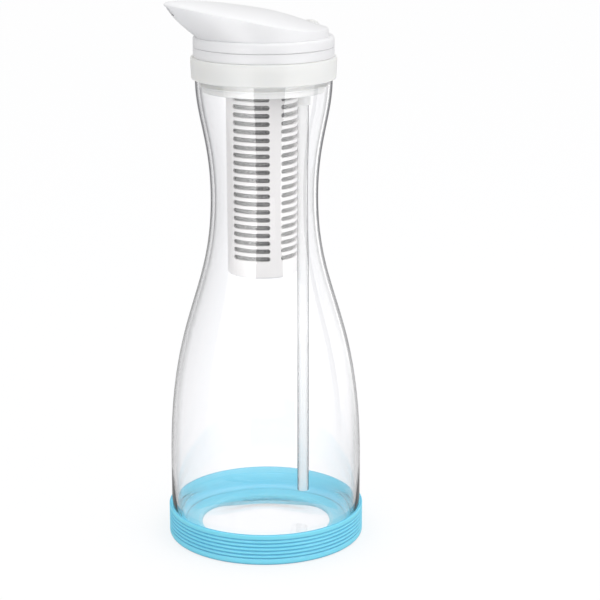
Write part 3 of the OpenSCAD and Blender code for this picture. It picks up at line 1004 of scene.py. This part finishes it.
def plain_tube(name, inside, outside, low, high, axis_x=0.0):
    return turn(name, [(inside, low), (outside, low), (outside, high), (inside, high)], 96, axis_x)


print(f"points nearer than {NEAR * 1e6:.0f} micrometres are joined after a Boolean")

# %% [markdown]
# ## Spout cap
# In the mould, beak and ring are one hollow shell. Here the ring is turned, joined to the beak by a
# Boolean, and the hollow, the pouring mouth and the vent's hole are cut out. Exact Booleans keep the
# crisp lines where the shapes meet, which is how they leave the mould.

# %% Spout cap
UPSTAND_R = 0.0354
UPSTAND_Z = RING_Z - 0.0024
CHIMNEY_X = 0.0259
CHIMNEY_R = 0.0061
CHIMNEY_T = 0.0015
MOUTH_H = 0.0046
MOUTH_W = 0.0044
MOUTH_CORNER = 0.0005
MOUTH_DROP = 0.0044
MOUTH_CUT = (BEAK_REACH - 0.014, BEAK_REACH + 0.006)
VENT_CUT = 0.006
CHIMNEY_H = 0.038
OVERLAP = 0.001
VENT_X = 0.0294
VENT_HOLE_R = 0.0025


def cap_ring():
    foot = PART_Z + SLIP
    top_round, foot_round = 0.0016, 0.0005
    return turn("cap_ring", [
        (0, foot),
        (LID_R - foot_round, foot),
        *arc((LID_R - foot_round, foot + foot_round), foot_round, -90, 0, 4),
        *arc((LID_R - top_round, RING_Z - top_round), top_round, 0, 90, 8),
        (0, RING_Z),
    ], 192)


def mouth_cutter():
    """A bar with round corners that cuts the pouring mouth through the tip."""
    middle = RING_Z + BEAK_RISE - MOUTH_DROP
    flat_y = MOUTH_W / 2 - MOUTH_CORNER
    flat_z = MOUTH_H / 2 - MOUTH_CORNER
    outline = []
    step = 22.5
    for side_y, side_z, start in ((1, 1, 0), (-1, 1, 90), (-1, -1, 180), (1, -1, 270)):
        outline += arc((side_y * flat_y, side_z * flat_z), MOUTH_CORNER, start - step, start + 90, 5)
    return prism("mouth_cutter", outline, *MOUTH_CUT, lambda y, z, x: (-x, y, middle + z))


def roof_height(x):
    """Height of the roof over the lid's axis, at a distance x towards the tail."""
    bend = math.log(1 + math.exp((BEND_X - x) / BEND_W))
    sheet = RING_Z + TAIL_RISE + (BEAK_RISE - TAIL_RISE) * bend / FULL_BEND
    fade = math.exp((TIP_ROUND - math.hypot(180, TIP_ROUND)) / BEAK_SPREAD)
    edge = TAIL_R + (BEAK_REACH - TAIL_R) * fade
    return sheet + CROWN_RISE * (1 - (x / edge) ** 2) ** TAIL_PUFF


def lean_on_roof(obj):
    """Move a piece that was made about the vertical axis to the vent, and lean it with the roof there."""
    step = 0.001
    lean = math.atan((roof_height(VENT_X - step) - roof_height(VENT_X + step)) / (2 * step))
    for vertex in obj.data.vertices:
        x, z = vertex.co.x, vertex.co.z
        vertex.co.x = VENT_X + x * math.cos(lean) + z * math.sin(lean)
        vertex.co.z = roof_height(VENT_X) - x * math.sin(lean) + z * math.cos(lean)
    return obj


socket_room = plain_round("socket_room", UPSTAND_R + SLIP, PART_Z - OVERLAP, UPSTAND_Z + SLIP)
chimney = plain_tube(
    "chimney", CHIMNEY_R, CHIMNEY_R + CHIMNEY_T, PART_Z - 2 * OVERLAP, PART_Z + CHIMNEY_H, CHIMNEY_X,
)
hollow = carve(carve(inner_beak, "UNION", socket_room), "DIFFERENCE", chimney)
spout_cap = carve(outer_beak, "UNION", cap_ring())
vent_cutter = lean_on_roof(plain_round("vent_cutter", VENT_HOLE_R, -VENT_CUT, VENT_CUT, segments=48))
carve(spout_cap, "DIFFERENCE", hollow, mouth_cutter(), vent_cutter)
smooth(spout_cap)
seat(spout_cap, "white_plastic", "spout_cap")

# %% [markdown]
# ## Lid base
# The lower moulding is a dish: ring, deck, plug and upstand are one turned outline, with small radii at
# every corner. The cartridge's socket, the tube's boss and the foot of the air chamber are short tubes
# joined to it.

# %% Lid base
CARTRIDGE_X = sum(corner.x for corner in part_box("cartridge_cage")) / 2
TUBE_X = sum(corner.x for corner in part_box("air_tube")) / 2
DECK_T = 0.003
DECK_Z = SEAT_Z + DECK_T
PLUG_R = 0.0312
PLUG_T = 0.002
PLUG_Z = SEAT_Z - SEAL_SKIRT_H + 0.0014
UPSTAND_T = 0.0018
SOCKET_R = 0.0132
SOCKET_T = 0.0022
SOCKET_Z = 0.266
OUTLET_R = 0.0095
BOSS_R = 0.006
BOSS_Z = 0.2635
GROMMET_R = 0.0043
GROMMET_TOP_Z = 0.272
TUBE_R = 0.0034
TUBE_BORE_R = 0.0024
GASKET_R = 0.0369
GASKET_WIRE_R = 0.00055


def lid_dish():
    groove = GASKET_WIRE_R + SLIP
    groove_z = PART_Z - 2 * GASKET_WIRE_R
    corner = 0.0005
    return turn("lid_base", rounded([
        (0, SEAT_Z), (PLUG_R - PLUG_T, SEAT_Z), (PLUG_R - PLUG_T, PLUG_Z),
        (PLUG_R, PLUG_Z), (PLUG_R, SEAT_Z), (LID_R, SEAT_Z), (LID_R, PART_Z),
        (GASKET_R + groove, PART_Z), (GASKET_R + groove, groove_z),
        (GASKET_R - groove, groove_z), (GASKET_R - groove, PART_Z),
        (UPSTAND_R, PART_Z), (UPSTAND_R, UPSTAND_Z),
        (UPSTAND_R - UPSTAND_T, UPSTAND_Z), (UPSTAND_R - UPSTAND_T, DECK_Z), (0, DECK_Z),
    ], corner), 192)


lid_base = lid_dish()
carve(
    lid_base, "UNION",
    plain_tube("socket", SOCKET_R, SOCKET_R + SOCKET_T, SOCKET_Z, SEAT_Z + OVERLAP, CARTRIDGE_X),
    plain_tube("boss", GROMMET_R + SLIP / 2, BOSS_R, BOSS_Z, SEAT_Z + OVERLAP, TUBE_X),
    plain_round("boss_floor", BOSS_R - SLIP, GROMMET_TOP_Z, SEAT_Z + OVERLAP, TUBE_X),
    plain_tube("chamber", CHIMNEY_R, CHIMNEY_R + CHIMNEY_T, DECK_Z - OVERLAP, PART_Z, CHIMNEY_X),
)
carve(
    lid_base, "DIFFERENCE",
    plain_round("outlet", OUTLET_R, SEAT_Z - OVERLAP, DECK_Z + OVERLAP, CARTRIDGE_X),
    plain_round("air_way", TUBE_BORE_R, GROMMET_TOP_Z - OVERLAP, DECK_Z + OVERLAP, TUBE_X, 48),
)
smooth(lid_base)
seat(lid_base, "white_plastic", "lid_base")

# %% [markdown]
# ## Small seals
# Gasket and O-ring are silicone cords with closed ends, so each is a circle turned round an axis. The
# grommet is a sleeve that holds the tube by friction. The vent valve lets air in but no water out: a low
# button with a hole, a neck through the roof, and below it a bill whose slit opens inwards. It is made
# upright and then leant with the roof.

# %% Small seals
O_RING_Z = 0.2712
O_RING_WIRE_R = 0.00085
GROMMET_MOUTH_Z = 0.250
BUTTON_R = 0.0040
BUTTON_H = 0.0015
BUTTON_LIFT = 0.00015
RIM_DIP = 0.0005
AIR_HOLE_R = 0.0011
NECK_H = 0.004
BILL_H = 0.0034
BILL_TIP = 0.0009
BILL_INSET = 0.0003
BILL_CHEEK = 0.0007
SLIT_W = 0.0003
SLIT_H = 0.006
SLEEVE_EDGE = 0.0004
TUBE_TOP_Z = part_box("air_tube")[1].z


def cord_ring(name, radius, wire, height, axis_x=0.0):
    return turn(name, arc((radius, height), wire, 0, 360, 20), 120, axis_x)


def vent_valve():
    """A low button with an air hole, a neck through the roof and a slit bill below."""
    ball_r = (BUTTON_R ** 2 + BUTTON_H ** 2) / (2 * BUTTON_H)
    start = math.degrees(math.asin((ball_r - BUTTON_H) / ball_r))
    end = math.degrees(math.acos(AIR_HOLE_R / ball_r))
    neck_r, top = VENT_HOLE_R - SLIP / 2, BUTTON_LIFT - NECK_H
    button = turn("vent_valve", [
        (AIR_HOLE_R, top),
        (neck_r, top),
        (neck_r, -RIM_DIP),
        (BUTTON_R, -RIM_DIP),
        *arc((0, BUTTON_LIFT + BUTTON_H - ball_r), ball_r, start, end, 16),
    ], 72)
    shoulder, tip, half = neck_r - BILL_INSET, BILL_TIP / 2, AIR_HOLE_R + BILL_CHEEK
    wedge = [(-shoulder, top + SLIP), (-tip, top - BILL_H), (tip, top - BILL_H), (shoulder, top + SLIP)]
    gap, above, below = SLIT_W / 2, top + OVERLAP, top - SLIT_H
    slit = [(-gap, above), (-gap, below), (gap, below), (gap, above)]
    carve(button, "UNION", prism("bill", wedge, -half, half, lambda x, z, y: (x, y, z)))
    carve(button, "DIFFERENCE", prism("slit", slit, -AIR_HOLE_R, AIR_HOLE_R, lambda x, z, y: (x, y, z)))
    smooth(button)
    return lean_on_roof(button)


def grommet():
    hold_r = TUBE_R + SLIP / 2
    top, step = GROMMET_TOP_Z - SLIP, TUBE_TOP_Z + SLIP
    return turn("grommet", rounded([
        (hold_r, GROMMET_MOUTH_Z), (GROMMET_R, GROMMET_MOUTH_Z), (GROMMET_R, top),
        (TUBE_BORE_R, top), (TUBE_BORE_R, step), (hold_r, step),
    ], SLEEVE_EDGE), 72, TUBE_X)


gasket = cord_ring("gasket", GASKET_R, GASKET_WIRE_R, PART_Z - GASKET_WIRE_R + SLIP / 2)
o_ring = cord_ring("o_ring", SOCKET_R - SLIP / 2 - O_RING_WIRE_R, O_RING_WIRE_R, O_RING_Z, CARTRIDGE_X)
seat(gasket, "milky_silicone", "cap_gasket")
seat(o_ring, "milky_silicone", "cartridge_o_ring")
seat(grommet(), "milky_silicone", "tube_grommet")
seat(vent_valve(), "milky_silicone", "vent_valve")

# %% [markdown]
# ## Air tube
# A straight extruded tube from the grommet to just above the floor of the glass. Its ends are cut square
# and broken by a small chamfer, which is where a clear tube shows a bright ring.

# %% Air tube
TUBE_END_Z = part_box("air_tube")[0].z
TUBE_EDGE = 0.0003
tube = turn("air_tube", rounded([
    (TUBE_BORE_R, TUBE_END_Z), (TUBE_R, TUBE_END_Z), (TUBE_R, TUBE_TOP_Z), (TUBE_BORE_R, TUBE_TOP_Z),
], TUBE_EDGE), 72, TUBE_X)
tube.visible_shadow = False
tube.visible_diffuse = False
seat(tube, "clear_plastic", "air_tube")

# %% [markdown]
# ## Cage
# The cage is moulded with four columns of round-ended slots, each cut along its own column's direction so
# that four slides can pull out of the mould. A turned blank goes into a tree that makes one slot, repeats
# it in rows and columns, and subtracts them all at once.

# %% Cage
CAGE_Z, HEAD_Z = (corner.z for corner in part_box("cartridge_cage"))
CAGE_R = 0.020
CAGE_FOOT_R = 0.0196
CAGE_IN_R = 0.0182
SLOT_ROWS = 21
SLOT_COLUMNS = 4
SLOT_PITCH = 0.00447
SLOT_H = 0.0027
FIRST_SLOT_Z = 0.2572
BAND_ANGLE = 20
PARTING_BAND_ANGLE = 31
SLOT_OUT_R = CAGE_R + 0.001
SLOT_BITE = 0.0015
SLOT_EDGE = 0.00012
SLOT_END_STEPS = 7
SLOT_END_ROUND = 0.499


def cage_blank():
    toe, edge = 0.0012, 0.0004
    return turn("cage", [
        (CAGE_IN_R + edge, CAGE_Z),
        (CAGE_FOOT_R - toe, CAGE_Z),
        *arc((CAGE_FOOT_R - toe, CAGE_Z + toe), toe, -90, 0, 8),
        (CAGE_R, HEAD_Z),
        (CAGE_IN_R, HEAD_Z),
        (CAGE_IN_R, CAGE_Z + edge),
    ], TURN_STEPS, CARTRIDGE_X)


def soften(obj, width, segments=2, angle=40):
    """Round every edge sharper than an angle, as a mould or a polisher does."""
    bevel = obj.modifiers.new("soften", "BEVEL")
    bevel.width = width
    bevel.segments = segments
    bevel.limit_method = "ANGLE"
    bevel.angle_limit = math.radians(angle)
    harden(obj)
    smooth(obj)


def repeat(graph, points, shape, **turned):
    """A shape at every point."""
    return graph.node("GeometryNodeInstanceOnPoints", {"Points": points, "Instance": shape, **turned})


def sweep(graph, path, section):
    """A section drawn along a path, with closed ends."""
    return graph.node(
        "GeometryNodeCurveToMesh", {"Curve": path, "Profile Curve": section, "Fill Caps": True},
    )


def slot_tree():
    graph, size = new_tree(
        "slots", rows=SLOT_ROWS, columns=SLOT_COLUMNS, pitch=SLOT_PITCH, height=SLOT_H,
        width=0.02, depth=0.01, first_z=FIRST_SLOT_Z, axis_x=0.0, shift=0.0,
    )
    sides = {"Width": size["width"], "Height": size["height"]}
    outline = graph.node("GeometryNodeCurvePrimitiveQuadrilateral", sides)
    ends = {"Curve": outline, "Count": SLOT_END_STEPS, "Radius": size["height"] * SLOT_END_ROUND}
    round_ended = graph.node("GeometryNodeFilletCurve", ends, mode="POLY")
    near, far = point(graph, SLOT_OUT_R - size["depth"]), (SLOT_OUT_R, 0, 0)
    path = graph.node("GeometryNodeCurvePrimitiveLine", {"Start": near, "End": far})
    step = point(graph, z=-1 * size["pitch"])
    rows = graph.node("GeometryNodeMeshLine", {"Count": size["rows"], "Offset": step})
    column = realize(graph, repeat(graph, rows, sweep(graph, path, round_ended)))
    start = point(graph, size["axis_x"], z=size["first_z"])
    places = graph.node("GeometryNodePoints", {"Count": size["columns"], "Position": start})
    number = graph.node("GeometryNodeInputIndex")
    heading = (number + 0.5) / size["columns"] * math.tau + size["shift"] * (1 - 2 * (number % 2))
    cutters = realize(graph, repeat(graph, places, column, Rotation=point(graph, z=heading)))
    meshes = {"Mesh 1": size["blank"], "Mesh 2": cutters}
    cut = graph.node("GeometryNodeMeshBoolean", meshes, operation="DIFFERENCE", solver="EXACT")
    return end_tree(graph, cut, size["finish"])


half_span = math.radians(360 / SLOT_COLUMNS - (BAND_ANGLE + PARTING_BAND_ANGLE) / 2) / 2
shift = math.radians(PARTING_BAND_ANGLE - BAND_ANGLE) / 4
slot_width = 2 * CAGE_R * math.sin(half_span)
slot_depth = SLOT_OUT_R - (CAGE_IN_R * math.cos(half_span) - SLOT_BITE)
cage = grow(
    cage_blank(), slot_tree(), "cage_plastic",
    width=slot_width, depth=slot_depth, axis_x=CARTRIDGE_X, shift=shift,
)
soften(cage, SLOT_EDGE)
seat(cage, "white_plastic", "cartridge_cage", "cage_plastic")

# %% [markdown]
# ## Head and end cap
# The head closes the cage at the top: a flange, a skirt that holds the upper pad, and a spigot with a
# groove for the O-ring and a cross in its bore. The end cap is a disc with a finger recess. Both are
# turned, with broken edges.

# %% Head and end cap
HEAD_T = 0.003
PAD_T = 0.0022
HEAD_SKIRT_R = CAGE_IN_R - SLIP
HEAD_SKIRT_T = 0.0016
HEAD_SKIRT_Z = HEAD_Z - SLIP - PAD_T
SPIGOT_GAP = 0.0003
SPIGOT_R = SOCKET_R - SPIGOT_GAP
SPIGOT_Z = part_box("cartridge_head")[1].z
GRID_T = 0.0016
GRID_H = 0.0022
GRID_BITE = 0.0006


def head_outline():
    groove_depth, groove_room, overhang, corner = 0.0016, 0.00025, 0.0002, 0.0005
    groove_r, flange_r, flange_z = SPIGOT_R - groove_depth, CAGE_R + overhang, HEAD_Z + HEAD_T
    low, high = O_RING_Z - O_RING_WIRE_R - groove_room, O_RING_Z + O_RING_WIRE_R + groove_room
    skirt_in = HEAD_SKIRT_R - HEAD_SKIRT_T
    return rounded([
        (OUTLET_R, HEAD_Z), (skirt_in, HEAD_Z), (skirt_in, HEAD_SKIRT_Z),
        (HEAD_SKIRT_R, HEAD_SKIRT_Z), (HEAD_SKIRT_R, HEAD_Z),
        (flange_r, HEAD_Z), (flange_r, flange_z), (SPIGOT_R, flange_z),
        (SPIGOT_R, low), (groove_r, low), (groove_r, high), (SPIGOT_R, high),
        (SPIGOT_R, SPIGOT_Z), (OUTLET_R, SPIGOT_Z),
    ], corner)


def grid_bar(name, length_x, length_y):
    """A bar of the cross in the head's bore."""
    x, y = length_x / 2, length_y / 2
    outline = [(-x, -y), (x, -y), (x, y), (-x, y)]
    return prism(name, outline, HEAD_Z, HEAD_Z + GRID_H, lambda u, v, w: (CARTRIDGE_X + u, v, w))


grid_length = 2 * (OUTLET_R + GRID_BITE)
head = carve(
    turn("cartridge_head", head_outline(), TURN_STEPS, CARTRIDGE_X), "UNION",
    grid_bar("grid_x", grid_length, GRID_T),
    grid_bar("grid_y", GRID_T, grid_length),
)
smooth(head)
seat(head, "white_plastic", "cartridge_head")

CAP_DISC_Z, CAP_DISC_TOP_Z = (corner.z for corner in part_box("end_cap"))
CAP_R = CAGE_IN_R - SLIP
CAP_EDGE = 0.0004
DIMPLE_R = 0.003
DIMPLE_Z = CAP_DISC_Z + 0.0018
RECESS_Z = CAP_DISC_Z + 0.0012
RECESS_R = CAP_R - 0.004
RECESS_MOUTH_R = CAP_R - 0.003
end_cap = turn("end_cap", rounded([
    (0, DIMPLE_Z), (DIMPLE_R, DIMPLE_Z), (DIMPLE_R, RECESS_Z), (RECESS_R, RECESS_Z),
    (RECESS_MOUTH_R, CAP_DISC_Z), (CAP_R, CAP_DISC_Z), (CAP_R, CAP_DISC_TOP_Z), (0, CAP_DISC_TOP_Z),
], CAP_EDGE), 120, CARTRIDGE_X)
seat(end_cap, "white_plastic", "end_cap")

# %% [markdown]
# ## Mesh
# Behind the slots is a fine mesh. It is two families of round threads, rings and uprights, that cross a
# thread's thickness apart. A real weave would need far more points, and nobody could see it.

# %% Mesh
MESH_PITCH = 0.0008
MESH_TURNS = 144
THREAD_R = 0.00009
SLEEVE_Z, SLEEVE_TOP_Z = (corner.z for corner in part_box("mesh_sleeve"))


def move(graph, shape, spot):
    return graph.node("GeometryNodeTransform", {"Geometry": shape, "Translation": spot})


def mesh_tree():
    graph, size = new_tree(
        "mesh", radius=0.018, low=0.0, high=0.1, rings=80, uprights=100, thread=THREAD_R, axis_x=0.0,
    )
    height = size["high"] - size["low"] - 2 * size["thread"]
    step = point(graph, z=height / (size["rings"] - 1))
    levels = graph.node("GeometryNodeMeshLine", {"Count": size["rings"], "Offset": step})
    ring_r, station_r = size["radius"] - size["thread"], size["radius"] - 3 * size["thread"]
    ring = graph.node("GeometryNodeCurvePrimitiveCircle", {"Resolution": 48, "Radius": ring_r})
    line = {"Start": (0, 0, 0), "End": point(graph, z=height)}
    upright = graph.node("GeometryNodeCurvePrimitiveLine", line)
    stations = graph.node("GeometryNodeMeshCircle", {"Vertices": size["uprights"], "Radius": station_r})
    lines = [repeat(graph, levels, ring), repeat(graph, stations, upright)]
    curves = realize(graph, graph.node("GeometryNodeJoinGeometry", {0: lines}))
    thread = {"Resolution": 4, "Radius": size["thread"]}
    threads = sweep(graph, curves, graph.node("GeometryNodeCurvePrimitiveCircle", thread))
    start = point(graph, size["axis_x"], z=size["low"] + size["thread"])
    return end_tree(graph, move(graph, threads, start), size["finish"])


sleeve = grow(
    empty("mesh_sleeve"), mesh_tree(), "grey_mesh",
    radius=CAGE_IN_R - SLIP, low=SLEEVE_Z, high=SLEEVE_TOP_Z,
    rings=round((SLEEVE_TOP_Z - SLEEVE_Z) / MESH_PITCH), uprights=MESH_TURNS, axis_x=CARTRIDGE_X,
)
seat(sleeve, "grey_mesh", "mesh_sleeve")

# %% [markdown]
# ## Granules and felt
# The dark grains are small rough balls, scattered on the bed's surface with a fixed seed, because only
# the outermost ones can be seen. Felt pads close the bed at both ends.

# %% Granules and felt
BED_Z, BED_TOP_Z = (corner.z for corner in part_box("filter_granules"))
BED_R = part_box("filter_granules")[1].x - CARTRIDGE_X
GRAIN_R = 0.0008
GRAIN_DENSITY = 900000.0
FLATTEST_GRAIN = 0.55
FELT_EDGE = 0.0007


def draw(graph, low, high, seed):
    """A random vector for each point, with its parts between low and high."""
    limits = {0: (low, low, low), 1: (high, high, high), "Seed": seed}
    return graph.node("FunctionNodeRandomValue", limits, data_type="FLOAT_VECTOR")


def bed_tree():
    graph, size = new_tree(
        "bed", radius=0.017, low=0.0, high=0.1, grain=GRAIN_R, spacing=0.0012, axis_x=0.0, seed=7,
    )
    depth = size["high"] - size["low"] - 2 * size["grain"]
    sides = {"Vertices": 64, "Radius": size["radius"] - size["grain"], "Depth": depth}
    skin = graph.node("GeometryNodeMeshCylinder", sides, output="Mesh", fill_type="NGON")
    spots = graph.node(
        "GeometryNodeDistributePointsOnFaces",
        {"Mesh": skin, "Distance Min": size["spacing"], "Density Max": GRAIN_DENSITY, "Seed": size["seed"]},
        output="Points", distribute_method="POISSON",
    )
    rough = {"Radius": size["grain"], "Subdivisions": 1}
    ball = graph.node("GeometryNodeMeshIcoSphere", rough, output="Mesh")
    spin = draw(graph, 0, math.tau, size["seed"] + 1)
    stretch = draw(graph, FLATTEST_GRAIN, 1, size["seed"] + 2)
    grains = repeat(graph, spots, ball, Rotation=spin, Scale=stretch)
    both = graph.node("GeometryNodeJoinGeometry", {0: [skin, grains]})
    centre = point(graph, size["axis_x"], z=(size["low"] + size["high"]) / 2)
    return end_tree(graph, move(graph, both, centre), size["finish"])


def felt_pad(name, radius, low, high):
    return turn(name, rounded(disc(radius, low, high), FELT_EDGE), 120, CARTRIDGE_X)


bed = grow(
    empty("granules"), bed_tree(), "dark_granules",
    radius=BED_R, low=BED_Z, high=BED_TOP_Z, axis_x=CARTRIDGE_X,
)
seat(bed, "dark_granules", "filter_granules")
for node in ("upper_pad", "lower_pad"):
    low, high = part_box(node)
    seat(felt_pad(node, high.x - CARTRIDGE_X, low.z, high.z), "white_felt", node)
